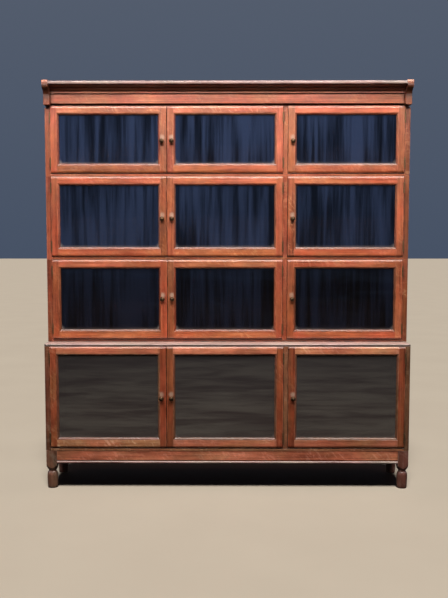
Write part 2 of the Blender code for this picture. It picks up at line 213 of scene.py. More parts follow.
class Shader:
    """A material's node tree, built by short calls."""

    def __init__(self, name):
        self.material = bpy.data.materials.new(name)
        self.material.use_nodes = True
        self.tree = self.material.node_tree
        self.surface = self.tree.nodes["Principled BSDF"]

    def put(self, socket, value):
        if isinstance(value, bpy.types.NodeSocket):
            self.tree.links.new(value, socket)
        else:
            socket.default_value = value

    def attribute(self, name, output="Vector"):
        node = self.tree.nodes.new("ShaderNodeAttribute")
        node.attribute_name = name
        return node.outputs[output]

    def math(self, operation, first, second=0.0):
        node = self.tree.nodes.new("ShaderNodeMath")
        node.operation = operation
        self.put(node.inputs[0], first)
        self.put(node.inputs[1], second)
        return node.outputs[0]

    def product(self, first, *others):
        for other in others:
            first = self.math("MULTIPLY", first, other)
        return first

    def vector(self, operation, first, second=(0, 0, 0)):
        node = self.tree.nodes.new("ShaderNodeVectorMath")
        node.operation = operation
        self.put(node.inputs[0], first)
        self.put(node.inputs[1], second)
        return node.outputs["Value" if operation == "DISTANCE" else "Vector"]

    def parts(self, vector):
        node = self.tree.nodes.new("ShaderNodeSeparateXYZ")
        self.put(node.inputs[0], vector)
        return node.outputs

    def noise(self, vector, stretch, detail=2.0, roughness=0.5, distortion=0.0):
        """Noise with its own number of cells per metre along each axis."""
        node = self.tree.nodes.new("ShaderNodeTexNoise")
        self.put(node.inputs["Vector"], self.vector("MULTIPLY", vector, stretch))
        node.inputs["Scale"].default_value = 1.0
        node.inputs["Detail"].default_value = detail
        node.inputs["Roughness"].default_value = roughness
        node.inputs["Distortion"].default_value = distortion
        return node.outputs["Fac"]

    def between(self, value, low, high, start=0.0, end=1.0):
        """Start below low, end above high, and a smooth step from one to the other."""
        node = self.tree.nodes.new("ShaderNodeMapRange")
        node.interpolation_type = "SMOOTHSTEP"
        for socket, number in zip(node.inputs, (value, low, high, start, end)):
            self.put(socket, number)
        return node.outputs["Result"]

    def mix(self, factor, first, second, blend="MIX"):
        node = self.tree.nodes.new("ShaderNodeMix")
        node.data_type = "RGBA"
        node.blend_type = blend
        self.put(node.inputs[0], factor)
        for socket, value in ((node.inputs[6], first), (node.inputs[7], second)):
            self.put(socket, (*value, 1) if isinstance(value, tuple) else value)
        return node.outputs[2]

    def scaled(self, color, level):
        """A colour times a number."""
        gray = self.tree.nodes.new("ShaderNodeCombineXYZ")
        for socket in gray.inputs:
            self.put(socket, level)
        return self.mix(1.0, color, gray.outputs[0], "MULTIPLY")

    def bump(self, height, strength, distance, normal=None):
        node = self.tree.nodes.new("ShaderNodeBump")
        self.put(node.inputs["Height"], height)
        node.inputs["Strength"].default_value = strength
        node.inputs["Distance"].default_value = distance
        if normal:
            self.put(node.inputs["Normal"], normal)
        return node.outputs["Normal"]

    def openness(self, reach):
        """1 out in the open, falling towards 0 in corners, gaps and hollows."""
        node = self.tree.nodes.new("ShaderNodeAmbientOcclusion")
        node.samples = 6
        node.inputs["Distance"].default_value = reach
        return node.outputs["AO"]

    def edge_distance(self):
        """How far a point on a board is from the board's nearest edge."""
        place = self.vector("ABSOLUTE", self.attribute("place"))
        a, b, c = self.parts(self.vector("SUBTRACT", self.attribute("half"), place))
        low = self.math("MINIMUM", a, b)
        high = self.math("MAXIMUM", a, b)
        return self.math("MAXIMUM", low, self.math("MINIMUM", high, c))

    def finish(self, values):
        """Sets the shader's other sockets, which are the same all over the surface."""
        for name, value in values.items():
            self.surface.inputs[name].default_value = value
        return self.material


# Materials

def oak_grain(s, grain):
    """The wood's own pattern: its shade, its streaks, its pores and its clouds."""
    drift = s.noise(grain, (3.0, 14.0, 14.0), detail=1)
    streaks = s.noise(grain, (5.0, 150.0, 150.0), detail=4, roughness=0.6, distortion=0.6)
    fine = s.noise(grain, (16.0, 900.0, 900.0))
    shade = s.math("ADD", s.product(streaks, 0.62), s.product(drift, 0.38))
    shade = s.math("ADD", shade, s.product(s.math("SUBTRACT", fine, 0.5), 0.30))
    pores = s.noise(grain, (120.0, 2600.0, 2600.0), detail=1)
    pore_rows = s.noise(grain, (4.0, 260.0, 260.0), detail=1)
    pore = s.product(s.between(pores, 0.56, 0.66), s.between(pore_rows, 0.40, 0.60))
    clouds = s.noise(grain, (9.0, 16.0, 16.0))
    return shade, streaks, pore, clouds


def ray_flecks(s, grain, strength):
    """Pale flakes that lean across the grain, in zones."""
    lean = s.tree.nodes.new("ShaderNodeCombineXYZ")
    s.put(lean.inputs[X], s.product(s.parts(grain)[Y], 0.75))
    leaning = s.vector("ADD", grain, lean.outputs[0])
    flakes = s.noise(leaning, (95.0, 48.0, 48.0), roughness=0.55, distortion=0.9)
    zone = s.noise(grain, (11.0, 9.0, 9.0), detail=1)
    flake = s.product(s.between(flakes, 0.52, 0.62), s.between(zone, 0.38, 0.62, 0.25, 1.0))
    return s.product(flake, s.product(s.attribute("figure", "Fac"), strength))


def oak_material(name, dark, middle, light, fleck_color, gloss, fleck_strength):
    """Quarter-sawn oak: straight grain, open pores and ray flecks across the grain."""
    s = Shader(name)
    grain = s.attribute("grain")
    tone = s.attribute("tone", "Fac")
    shade, streaks, pore, clouds = oak_grain(s, grain)
    flake = ray_flecks(s, grain, fleck_strength)

    color = s.mix(s.between(shade, 0.30, 0.52), dark, middle)
    color = s.mix(s.between(shade, 0.50, 0.72), color, light)
    color = s.mix(flake, color, fleck_color)
    color = s.mix(s.product(pore, 0.55), color, tuple(c * 0.35 for c in dark))

    # Each board is redder or browner than the next, and varies along its length
    hue = s.noise(grain, (6.0, 18.0, 18.0))
    warmth = s.math("ADD", s.attribute("warmth", "Fac"), s.between(hue, 0.34, 0.66, -0.45, 0.45))
    redder = s.mix(warmth, (1.04, 0.90, 0.98), (0.97, 1.22, 1.16))
    color = s.mix(1.0, color, redder, "MULTIPLY")

    # Mottling, grime along the edges, and painted shade that darkens corners, gaps and hollows
    mottle = s.noise(grain, (34.0, 52.0, 52.0))
    grime_noise = s.noise(grain, (8.0, 22.0, 22.0))
    edge = s.edge_distance()
    grime = s.product(s.between(edge, 0.001, 0.012, 1.0, 0.0),
                      s.between(grime_noise, 0.40, 0.70))
    level = s.product(tone, s.between(clouds, 0.30, 0.70, 0.82, 1.14),
                      s.between(mottle, 0.34, 0.66, 0.90, 1.08),
                      s.math("SUBTRACT", 1.0, s.product(grime, 0.28)),
                      # painted shade: darker where the wood is shut in
                      s.between(s.openness(RECESS_REACH), 0.25, 0.85, 0.22, 1.0))
    color = s.scaled(color, level)

    # Worn edges, dust and a painted sheen on what faces up, and a pale patch above a knob
    rub = s.noise(grain, (30.0, 60.0, 60.0), detail=3)
    worn = s.product(s.between(edge, 0.0003, 0.0030, 1.0, 0.0), s.between(rub, 0.42, 0.62))
    color = s.mix(s.product(worn, 0.35), color, tuple(c * 1.15 for c in light))
    # Up-facing surfaces turn paler: dust, and a painted sheen of the overhead light
    upward = s.parts(s.tree.nodes.new("ShaderNodeNewGeometry").outputs["Normal"])[Z]
    dust_and_sheen = s.product(s.between(upward, 0.45, 1.0), s.between(tone, 0.45, 0.95, 0.20, 0.56),
                     s.between(shade, 0.38, 0.62, 1.0, 0.55),
                     s.between(clouds, 0.30, 0.70, 0.70, 1.0))
    color = s.mix(dust_and_sheen, color, DUST_AND_SHEEN_COLOR)
    # A pale patch painted just above each knob
    from_knob_patch = s.vector("DISTANCE", s.attribute("place"), s.attribute("knob_patch"))
    knob_patch = s.product(s.between(from_knob_patch, 0.003, 0.014, 1.0, 0.0),
                       s.between(rub, 0.25, 0.60, 0.40, 0.75))
    s.put(s.surface.inputs["Base Color"], s.mix(knob_patch, color, KNOB_PATCH_COLOR))

    smear = s.noise(grain, (12.0, 30.0, 30.0), detail=3)
    rough = s.between(smear, 0.30, 0.72, gloss - 0.06, gloss + 0.10)
    rough = s.math("ADD", rough, s.product(pore, 0.22))
    rough = s.math("SUBTRACT", rough, s.product(flake, 0.07))
    rough = s.math("ADD", rough, s.product(worn, 0.08))
    s.put(s.surface.inputs["Roughness"], rough)

    ridges = s.math("SUBTRACT", s.product(streaks, 0.5), pore)
    ridges = s.math("ADD", ridges, s.product(flake, 0.15))
    wave = s.noise(grain, (5.0, 22.0, 22.0), detail=1)
    s.put(s.surface.inputs["Normal"],
          s.bump(wave, 0.12, 0.004, s.bump(ridges, 0.35, 0.0004)))
    return s.finish({"Specular IOR Level": 0.36, "Coat Weight": 0.62, "Coat Roughness": 0.12})


def glass_material():
    """Old sheet glass over a dark interior: slightly wavy, coloured by a painted reflection of
    blue upright streaks and, in the lower tiers, a brown layer of dirt and painted floor
    reflection.
    """
    s = Shader("old_glass")
    spot = s.attribute("grain")
    upright = s.noise(spot, (42.0, 1.8, 3.0), detail=4, roughness=0.62, distortion=0.15)
    drape = s.noise(spot, (7.0, 2.5, 3.0), detail=1)
    level = s.noise(spot, (3.0, 34.0, 3.0), detail=3, roughness=0.65, distortion=0.3)
    upright = s.math("ADD", s.product(upright, 0.62), s.product(drape, 0.38))
    # Painted reflection: blue upright streaks
    blue = s.mix(s.between(upright, 0.39, 0.61), (0.001, 0.002, 0.006), (0.024, 0.037, 0.082))
    # A brown layer of dirt and painted floor reflection
    brown = s.mix(s.between(level, 0.32, 0.68), (0.056, 0.044, 0.041), (0.112, 0.098, 0.084))
    place, half = s.parts(s.attribute("place")), s.parts(s.attribute("half"))
    height = s.math("DIVIDE", place[Z], half[Z])
    # The painted floor reflection darkens towards the top of the pane
    dimmed = s.mix(s.between(height, -0.8, 1.0, 0.0, 0.55), brown, (0.018, 0.018, 0.022))
    color = s.mix(s.attribute("warmth", "Fac"), blue, dimmed)
    color = s.scaled(color, s.attribute("tone", "Fac"))

    from_side = s.math("SUBTRACT", half[X], s.math("ABSOLUTE", place[X]))
    from_bottom = s.math("ADD", half[Z], place[Z])
    in_corner = s.between(s.math("ADD", from_side, from_bottom), 0.018, 0.036, 0.85, 0.0)
    on_bead = s.between(from_bottom, 0.007, 0.016, 0.45, 0.0)
    haze = s.product(s.math("MAXIMUM", in_corner, on_bead),
                     s.between(drape, 0.30, 0.70, 0.45, 1.0))
    s.put(s.surface.inputs["Base Color"], s.mix(haze, color, HAZE_COLOR))
    s.put(s.surface.inputs["Roughness"], s.between(level, 0.35, 0.75, 0.02, 0.06))
    wave = s.noise(spot, (5.0, 11.0, 5.0), detail=1, distortion=0.8)
    s.put(s.surface.inputs["Normal"], s.bump(wave, 0.22, 0.006))
    return s.finish({"IOR": 1.52, "Coat Weight": 1.0, "Coat Roughness": 0.015, "Alpha": 0.62})


def brass_material():
    """Brass gone brown, worn brighter on its proud edges."""
    s = Shader("aged_brass")
    coordinates = s.tree.nodes.new("ShaderNodeTexCoord").outputs["Object"]
    tarnish = s.noise(coordinates, (260.0, 260.0, 260.0), detail=4, roughness=0.65)
    geometry = s.tree.nodes.new("ShaderNodeNewGeometry")
    proud = s.between(geometry.outputs["Pointiness"], 0.50, 0.58)
    color = s.mix(s.between(tarnish, 0.35, 0.68), (0.035, 0.018, 0.010), (0.11, 0.060, 0.028))
    s.put(s.surface.inputs["Base Color"],
          s.mix(s.product(proud, 0.4), color, (0.34, 0.21, 0.10)))
    s.put(s.surface.inputs["Roughness"], s.between(tarnish, 0.3, 0.7, 0.30, 0.52))
    s.put(s.surface.inputs["Normal"], s.bump(tarnish, 0.12, 0.0003))
    return s.finish({"Metallic": 0.85})


# Mesh helpers

def wood_layers(shape, low, high, along, seed, tones=None, warmth=None, knob_patch=None):
    """Stamps a board's own coordinates on its vertices, for its material to read."""
    chance = random.Random(seed)
    offset = Vector([chance.uniform(-40, 40) for _ in range(3)])
    tone_low, tone_high = tones or BOARD_TONES[along]
    numbers = {"tone": chance.uniform(tone_low, tone_high),
               "warmth": chance.random() if warmth is None else warmth,
               "figure": chance.random()}
    size = high - low
    across = max((axis for axis in range(3) if axis != along), key=lambda axis: size[axis])
    through = 3 - along - across
    middle, half = (low + high) / 2, size / 2
    knob_patch_place = knob_patch - middle if knob_patch else Vector(FAR_AWAY)
    vector_layers, number_layers = shape.verts.layers.float_vector, shape.verts.layers.float
    grain_layer, place_layer, half_layer, knob_patch_layer = [
        vector_layers.new(name) for name in ("grain", "place", "half", "knob_patch")]
    values = [(number_layers.new(name), value) for name, value in numbers.items()]
    for vert in shape.verts:
        place = vert.co - middle
        vert[grain_layer] = Vector((place[along], place[across], place[through])) + offset
        vert[place_layer] = place
        vert[half_layer] = half
        vert[knob_patch_layer] = knob_patch_place
        for layer, value in values:
            vert[layer] = value


def extent(shape):
    points = [vert.co for vert in shape.verts]
    low = Vector([min(point[axis] for point in points) for axis in range(3)])
    high = Vector([max(point[axis] for point in points) for axis in range(3)])
    return low, high


def loft(rings):
    """A closed solid through rings of equally many points."""
    shape = bmesh.new()
    loops = [[shape.verts.new(point) for point in ring] for ring in rings]
    for first, second in zip(loops, loops[1:]):
        for i in range(len(first)):
            j = (i + 1) % len(first)
            shape.faces.new((first[i], first[j], second[j], second[i]))
    shape.faces.new(loops[0])
    shape.faces.new(loops[-1])
    bmesh.ops.recalc_face_normals(shape, faces=shape.faces)
    return shape


def soften(shape, width=ARRIS, sharper_than=50, segments=1):
    """Bevels the edges that turn by more than an angle, in degrees."""
    sharp = [edge for edge in shape.edges
             if edge.is_manifold and edge.calc_face_angle() > math.radians(sharper_than)]
    bmesh.ops.bevel(shape, geom=sharp, offset=width, segments=segments, profile=0.5,
                    affect="EDGES", clamp_overlap=True)
    return shape


def at(axis, length, first, second):
    """A point from its place along an axis and its two other coordinates, in XYZ order."""
    others = {X: (length, first, second), Y: (first, length, second), Z: (first, second, length)}
    return Vector(others[axis])


def bar(axis, start, end, outline):
    """A solid with one outline all along an axis."""
    return loft([[at(axis, length, *point) for point in outline] for length in (start, end)])


def arc(center, radius, start, end, steps=6):
    """Points on an arc or, with two radii, on an ellipse; angles in degrees."""
    across, up = radius if isinstance(radius, tuple) else (radius, radius)
    angles = [math.radians(start + (end - start) * i / steps) for i in range(steps + 1)]
    return [(center[0] + across * math.cos(a), center[1] + up * math.sin(a)) for a in angles]


def rounded_outline(low, high, radii, steps=4):
    """A rectangle with its own radius at each corner, from the low corner anticlockwise."""
    corners = ((low[0], low[1], 1, 1, 180), (high[0], low[1], -1, 1, 270),
               (high[0], high[1], -1, -1, 0), (low[0], high[1], 1, -1, 90))
    points = []
    for (x, y, inward_x, inward_y, angle), radius in zip(corners, radii):
        center = (x + inward_x * radius, y + inward_y * radius)
        points += arc(center, radius, angle, angle + 90, steps)
    return points


def round_solid(profile, origin, direction, steps=20):
    """A turned solid from (radius, height) points, standing on origin along direction."""
    turn = Vector((0, 0, 1)).rotation_difference(Vector(direction)).to_matrix()
    rings = []
    for radius, height in profile:
        rings.append([origin + turn @ Vector((radius * math.cos(a), radius * math.sin(a), height))
                      for a in (2 * math.pi * i / steps for i in range(steps))])
    return loft(rings)


def joined(shapes):
    """One mesh from several solids."""
    whole = bmesh.new()
    for shape in shapes:
        mesh = bpy.data.meshes.new("part")
        shape.to_mesh(mesh)
        shape.free()
        whole.from_mesh(mesh)
        bpy.data.meshes.remove(mesh)
    return whole


def add_piece(name, shape, body, material, nodes=()):
    mesh = bpy.data.meshes.new(name)
    shape.to_mesh(mesh)
    shape.free()
    mesh.shade_smooth()
    mesh.set_sharp_from_angle(angle=math.radians(SHARP_ANGLE))
    mesh.materials.append(material)
    piece = bpy.data.objects.new(name, mesh)
    bpy.context.scene.collection.objects.link(piece)
    even = piece.modifiers.new("Even shading", "WEIGHTED_NORMAL")
    even.keep_sharp = True
    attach(piece, body)
    if nodes:
        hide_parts(*nodes)
    return piece


def oak_for(name):
    """The base and the stand have faded more than the rest, apart from the base's stiles."""
    faded = name.startswith(("base", "stand")) and not name.endswith("stile")
    return FADED_OAK if faded else OAK


def add_board(name, shape, along, nodes, body="case", material=None, slot="oak", tones=None,
              knob_patch=None):
    """A piece of wood whose grain runs along one axis."""
    low, high = extent(shape)
    wood_layers(shape, low, high, along, name, tones, knob_patch=knob_patch)
    return add_piece(name, shape, body, material or oak_for(name), nodes)


def plain_board(name, low, high, along, nodes, radii=(ARRIS,) * 4, **finish):
    """A straight board; radii are those of its outline's corners, seen along the grain."""
    first, second = [axis for axis in range(3) if axis != along]
    outline = rounded_outline((low[first], low[second]), (high[first], high[second]), radii)
    shape = soften(bar(along, low[along], high[along], outline))
    return add_board(name, shape, along, nodes, **finish)


def shade_where(board, shade, chosen):
    """Gives the chosen vertices of a board a tone of their own."""
    tones = board.data.attributes["tone"].data
    for vert in board.data.vertices:
        if chosen(vert):
            tones[vert.index].value = shade


def screw_heads(points, direction, radius=SCREW_RADIUS):
    """Countersunk heads, flush with the surface that they are driven into."""
    profile = [(0.0004, -0.0012), (radius * 0.8, -0.0012), (radius, -0.0002),
               (radius * 0.9, 0.0002), (0.0004, 0.0003)]
    return [round_solid(profile, Vector(point), direction) for point in points]


# Case

def section(tier):
    left_low, left_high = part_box(f"{tier}_side_left")
    right_low, right_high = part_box(f"{tier}_side_right")
    radius, tones = CASE_EDGE_RADIUS[tier], SIDE_TONES[tier]
    plain_board(f"{tier}_left_side_board", left_low, left_high, Z, [f"{tier}_side_left"],
                (radius, ARRIS, ARRIS, SOFT_EDGE), tones=tones)
    plain_board(f"{tier}_right_side_board", right_low, right_high, Z, [f"{tier}_side_right"],
                (ARRIS, radius, SOFT_EDGE, ARRIS), tones=tones)

    frame_node = [f"{tier}_shelf_frame"]
    front, top, bottom = left_low.y, left_high.z, left_low.z
    inner_left, inner_right = left_high.x + FIT, right_low.x - FIT
    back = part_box(f"{tier}_back_panel")[0].y - FIT
    rebate = front - DOOR_PROUD + REBATE_BACK
    outline = [
        (front, bottom), (back, bottom), (back, bottom + BOARD_THICK),
        (rebate, bottom + BOARD_THICK), (rebate, bottom + LIP_HEIGHT),
        (front, bottom + LIP_HEIGHT),
    ]
    shape = soften(bar(X, inner_left, inner_right, outline), SOFT_EDGE / 2)
    add_board(f"{tier}_bottom_board", shape, X, frame_node, tones=LIP_TONES[tier])

    partition_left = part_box(f"{tier}_door_middle_frame")[1].x + PARTITION_GAP
    partition_right = partition_left + PARTITION_THICK
    outline = [
        (front, bottom + LIP_HEIGHT), (rebate, bottom + LIP_HEIGHT),
        (rebate, bottom + BOARD_THICK), (back, bottom + BOARD_THICK),
        (back, top), (front, top),
    ]
    shape = soften(bar(X, partition_left, partition_right, outline))
    add_board(f"{tier}_partition", shape, Z, frame_node)

    for bay, start, end in (("double_bay", inner_left, partition_left),
                            ("single_bay", partition_right, inner_right)):
        plain_board(f"{tier}_{bay}_stop_rail", Vector((start, rebate, top - STOP_RAIL_HEIGHT)),
                    Vector((end, rebate + STOP_RAIL_DEPTH, top)), X, frame_node,
                    (SOFT_EDGE, SOFT_EDGE, ARRIS, ARRIS))
    back_board(tier, (partition_left + partition_right) / 2)


def back_board(tier, partition_middle):
    """The back panel, screwed on along its long edges and across its middle."""
    low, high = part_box(f"{tier}_back_panel")
    plain_board(f"{tier}_back_board", low, high, X, [f"{tier}_back_panel"],
                material=PANEL_WOOD, slot="back_panel")
    first, last = low.x + BACK_SCREW_INSET, high.x - BACK_SCREW_INSET
    rows = (low.z + BACK_SCREW_INSET, high.z - BACK_SCREW_INSET)
    spots = [(first + (last - first) * i / (BACK_SCREWS - 1), high.y, z)
             for i in range(BACK_SCREWS) for z in rows]
    spots += [(x, high.y, (low.z + high.z) / 2) for x in (first, last, partition_middle)]
    add_piece(f"{tier}_back_screws", joined(screw_heads(spots, (0, 1, 0))), "case",
              BRASS)


def ledge():
    """The base section's top board, with rounded front corners and a rounded top edge."""
    low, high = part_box("base_shelf_frame")
    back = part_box("base_side_left")[1].y
    radius = CASE_EDGE_RADIUS["base"]
    bottom = high.z - LEDGE_THICK

    def outline(inset):
        return rounded_outline((low.x + inset, low.y + inset),
                               (high.x - inset, back - inset * LEDGE_BACK_SHARE),
                               (radius, radius, SOFT_EDGE, SOFT_EDGE))

    profile = [(0.0005, bottom), (0, bottom + 0.0006)]
    profile += [(LEDGE_ROUND - reach, high.z - LEDGE_ROUND + rise)
                for reach, rise in arc((0, 0), LEDGE_ROUND, 0, 84, 5)]
    profile += [(LEDGE_ROUND, high.z)]
    rings = [[at(Z, height, *point) for point in outline(inset)] for inset, height in profile]
    board = add_board("base_ledge_board", loft(rings), X, ["base_shelf_frame"],
                      material=WORN_AND_SHEEN_OAK, tones=LEDGE_TONES)
    # Painted darker below the top's rounding, under the painted highlight on top
    flat = high.z - LEDGE_ROUND * 0.4
    shade_where(board, LEDGE_EDGE_SHADE, lambda vert: vert.co.z < flat)


# Doors

def door_edge(face, bottom, top):
    """Points up a door's front, rounded away at its bottom and its top."""
    lower = arc((face + BOTTOM_EDGE_ROUND[0], bottom + BOTTOM_EDGE_ROUND[1]),
                BOTTOM_EDGE_ROUND, 270, 180)
    upper = arc((face + TOP_EDGE_ROUND[0], top - TOP_EDGE_ROUND[1]), TOP_EDGE_ROUND, 180, 90)
    return lower + upper


def stile(name, low, high, outer_side, nodes, body, tones, knob_patch):
    """An upright of a door frame; its rounded ends carry the rails' edges through."""
    left, right = (SOFT_EDGE, ARRIS) if outer_side < 0 else (ARRIS, SOFT_EDGE)
    rings = []
    for front, height in door_edge(low.y, low.z, high.z):
        outline = rounded_outline((low.x, front), (high.x, high.y), (left, right, right, left), 2)
        rings.append([at(Z, height, *point) for point in outline])
    shape = soften(loft(rings), ARRIS, 70)
    return add_board(name, shape, Z, nodes, body, tones=tones, knob_patch=knob_patch)


def door_frame(tier, name, low, high, flat_low, flat_high, knob_patch):
    """Two stiles and two rails round the opening between flat_low and flat_high."""
    nodes = [f"{name}_frame"]
    face, back = low.y, high.y
    tones = STILE_TONES[tier]
    stile(f"{name}_left_stile", low, Vector((flat_low[0], back, high.z)), -1, nodes, name,
          tones, knob_patch)
    stile(f"{name}_right_stile", Vector((flat_high[0], face, low.z)), high, 1, nodes, name,
          tones, knob_patch)
    edge = door_edge(face, low.z, high.z)
    half = len(edge) // 2
    rails = (
        ("bottom", BOTTOM_RAIL_FACTOR[tier],
         edge[:half] + [(face, flat_low[1]), (back, flat_low[1]), (back, low.z)]),
        ("top", 1.0,
         [(face, flat_high[1])] + edge[half:] + [(back, high.z), (back, flat_high[1])]),
    )
    for level, factor, outline in rails:
        tones = [tone * factor for tone in RAIL_TONES[tier]]
        add_board(f"{name}_{level}_rail", soften(bar(X, flat_low[0], flat_high[0], outline)), X,
                  nodes, name, tones=tones)


def mitred_frame(opening_low, opening_high, profile, seed, tones=None):
    """Four mitred lengths of moulding; profile gives (distance inwards, Y)."""
    x0, z0 = opening_low
    x1, z1 = opening_high
    sides = []
    for number, (along, start, end, base, inward) in enumerate((
            (X, x0, x1, z0, 1), (X, x0, x1, z1, -1), (Z, z0, z1, x0, 1), (Z, z0, z1, x1, -1))):
        rings = []
        for edge, step in ((start, 1), (end, -1)):
            ring = []
            for reach, y in profile:
                length, offset = edge + step * reach, base + inward * reach
                ring.append(Vector((length, y, offset) if along == X else (offset, y, length)))
            rings.append(ring)
        side = loft(rings)
        low, high = extent(side)
        wood_layers(side, low, high, along, f"{seed}_{number}", tones)
        sides.append(side)
    return joined(sides)


def glazing(tier, name, face, flat_low, flat_high):
    """The moulding in front of the pane, the beads behind it and the pane itself."""
    nodes = [f"{name}_frame"]
    start, end = face + MOULDING_QUIRK, face + MOULDING_QUIRK + MOULDING_CURVE
    profile = [(0, face + MOULDING_DEPTH), (0, start), (MOULDING_STEP, start)]
    profile += arc((MOULDING_STEP, end), MOULDING_CURVE, -78, -6)
    profile += [(MOULDING, end), (MOULDING, face + MOULDING_DEPTH)]
    ring = mitred_frame(flat_low, flat_high, profile, f"{name}_moulding", MOULDING_TONES)
    add_piece(f"{name}_glass_moulding", ring, name, oak_for(name), nodes)

    front, back = face + BEAD_FRONT, face + BEAD_BACK
    profile = [(FIT, front), (FIT, back), (BEAD_FLAT, back)]
    profile += arc((BEAD_FLAT, back - BEAD_CURVE), BEAD_CURVE, 75, 0, 5)
    profile += [(BEAD_FLAT + BEAD_CURVE, front)]
    ring = mitred_frame(flat_low, flat_high, profile, f"{name}_beads")
    add_piece(f"{name}_glazing_beads", ring, name, oak_for(name), nodes)

    low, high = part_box(f"{name}_glass")
    outline = rounded_outline((low.x, low.y), (high.x, high.y), (PANE_EDGE,) * 4, 1)
    pane = soften(bar(Z, low.z, high.z, outline), PANE_EDGE)
    reflection_level, brown = PANE_REFLECTION[tier]
    wood_layers(pane, low, high, X, f"{name}_pane", (reflection_level, reflection_level * 1.1), brown)
    add_piece(f"{name}_pane", pane, name, GLASS, [f"{name}_glass"])


def knob(name):
    """A turned knob: a rose, a neck and a rounded head."""
    node = f"{name}_knob"
    low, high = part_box(node)
    reach = high.y - low.y
    radius = (high.x - low.x) / 2
    origin = Vector(((low.x + high.x) / 2, high.y, (low.z + high.z) / 2))
    head = arc((0, reach - KNOB_HEAD), (radius, KNOB_HEAD), -38, 72, 14)
    tip = [(radius * 0.26, reach - 0.0002), (0.0002, reach)]
    shape = round_solid([*KNOB_FOOT, *head, *tip], origin, (0, -1, 0), KNOB_STEPS)
    add_piece(f"{name}_turned_knob", shape, name, BRASS, [node])


def hinge_leaf(axis_point, direction, bottom, knuckles):
    """One leaf of a butt hinge, on one side of its axis, with its knuckles, as solids."""
    sideways, backwards = LEAF_FROM_AXIS
    inner = axis_point.x + direction * sideways
    outer = inner + direction * LEAF_THICK
    front, back = axis_point.y + backwards, axis_point.y + backwards + LEAF_DEPTH
    outline = rounded_outline((min(inner, outer), front), (max(inner, outer), back),
                              (0.0001,) * 4, 1)
    solids = [bar(Z, bottom, bottom + LEAF_LENGTH, outline)]
    pitch = LEAF_LENGTH / KNUCKLES
    length, radius = pitch - 2 * KNUCKLE_GAP, KNUCKLE_RADIUS
    profile = [(radius * 0.4, 0), (radius * 0.9, 0), (radius, 0.0003), (radius, length - 0.0003),
               (radius * 0.9, length), (radius * 0.4, length)]
    for index in knuckles:
        foot = Vector((axis_point.x, axis_point.y, bottom + index * pitch + KNUCKLE_GAP))
        solids.append(round_solid(profile, foot, (0, 0, 1)))
    spots = [(inner, (front + back) / 2 + offset, bottom + LEAF_LENGTH * share)
             for share, offset in ((0.17, 0.003), (0.5, -0.002), (0.83, 0.003))]
    return solids + screw_heads(spots, (-direction, 0, 0), LEAF_SCREW_RADIUS)


def hinges(name, side, low, high, joint):
    """Two butt hinges: leaves and pins on the case, leaves on the door."""
    axis_point = Vector(joint["pos_m"])
    tip = KNUCKLE_RADIUS * 0.9
    end = LEAF_LENGTH
    pin = [(0.0002, -PIN_HEAD), (tip * 0.7, -0.0009), (tip, -0.0001), (tip * 0.5, 0),
           (tip * 0.5, end), (tip, end + 0.0001), (tip * 0.7, end + 0.0009),
           (0.0002, end + PIN_HEAD)]
    case_solids, door_solids, pins = [], [], []
    for middle in (low.z + HINGE_FROM_BOTTOM, high.z - HINGE_FROM_TOP):
        bottom = middle - LEAF_LENGTH / 2
        case_solids += hinge_leaf(axis_point, side, bottom, range(0, KNUCKLES, 2))
        door_solids += hinge_leaf(axis_point, -side, bottom, range(1, KNUCKLES, 2))
        pins.append(round_solid(pin, Vector((axis_point.x, axis_point.y, bottom)), (0, 0, 1), 16))
    add_piece(f"{name}_hinge_case_leaves", joined(case_solids + pins), "case", BRASS)
    add_piece(f"{name}_hinge_door_leaves", joined(door_solids), name, BRASS)


def catch(name, x, bottom, back):
    """A ball catch let into the bottom edge of the door."""
    half_length, half_width = CATCH_PLATE
    y = back - half_width - CATCH_FROM_BACK
    plate = bar(Z, bottom - 0.0001, bottom + 0.001, rounded_outline(
        (x - half_length, y - half_width), (x + half_length, y + half_width),
        (half_width * 0.9,) * 4, 6))
    ball = round_solid(arc((0, 0), CATCH_BALL, -90, 90, 10), Vector((x, y, bottom + 0.0012)),
                       (0, 0, -1))
    add_piece(f"{name}_ball_catch", joined([plate, ball]), name, BRASS)


def door(tier, place, joint):
    name = f"{tier}_door_{place}"
    low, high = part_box(f"{name}_frame")
    pane_low, pane_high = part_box(f"{name}_glass")
    knob_low, knob_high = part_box(f"{name}_knob")
    knob_x = (knob_low.x + knob_high.x) / 2
    inset = PANE_LAP - MOULDING
    flat_low = (pane_low.x + inset, pane_low.z + inset)
    flat_high = (pane_high.x - inset, pane_high.z - inset)
    knob_patch = Vector((knob_x, low.y, knob_high.z + KNOB_PATCH_ABOVE))
    door_frame(tier, name, low, high, flat_low, flat_high, knob_patch)
    glazing(tier, name, low.y, flat_low, flat_high)
    knob(name)
    hinges(name, HINGE_SIDES[place], low, high, joint)
    catch(name, knob_x, low.z, high.y)


# Cap

def cove_outline(lip, front, under):
    """Down the cap's moulding: a lip, two hollows with a step between, and the fillet."""
    fillet = front - FILLET_REACH
    middle = lip + (fillet - lip) * COVE_UPPER_SHARE
    lip_bottom, step_bottom = under - COVE_LIP_HEIGHT, COVE_MIDDLE - COVE_STEP
    outline = [(lip, under - FIT), (lip, lip_bottom)]
    outline += arc((lip, COVE_MIDDLE), (middle - lip, lip_bottom - COVE_MIDDLE), 78, 0)
    outline += [(middle, step_bottom)]
    outline += arc((middle + COVE_STEP, FILLET_TOP),
                   (fillet - middle - COVE_STEP, step_bottom - FILLET_TOP), 84, 0, 8)
    back = front - FIT
    return outline + [(fillet, FILLET_BOTTOM), (back, FILLET_BOTTOM), (back, under - FIT)]


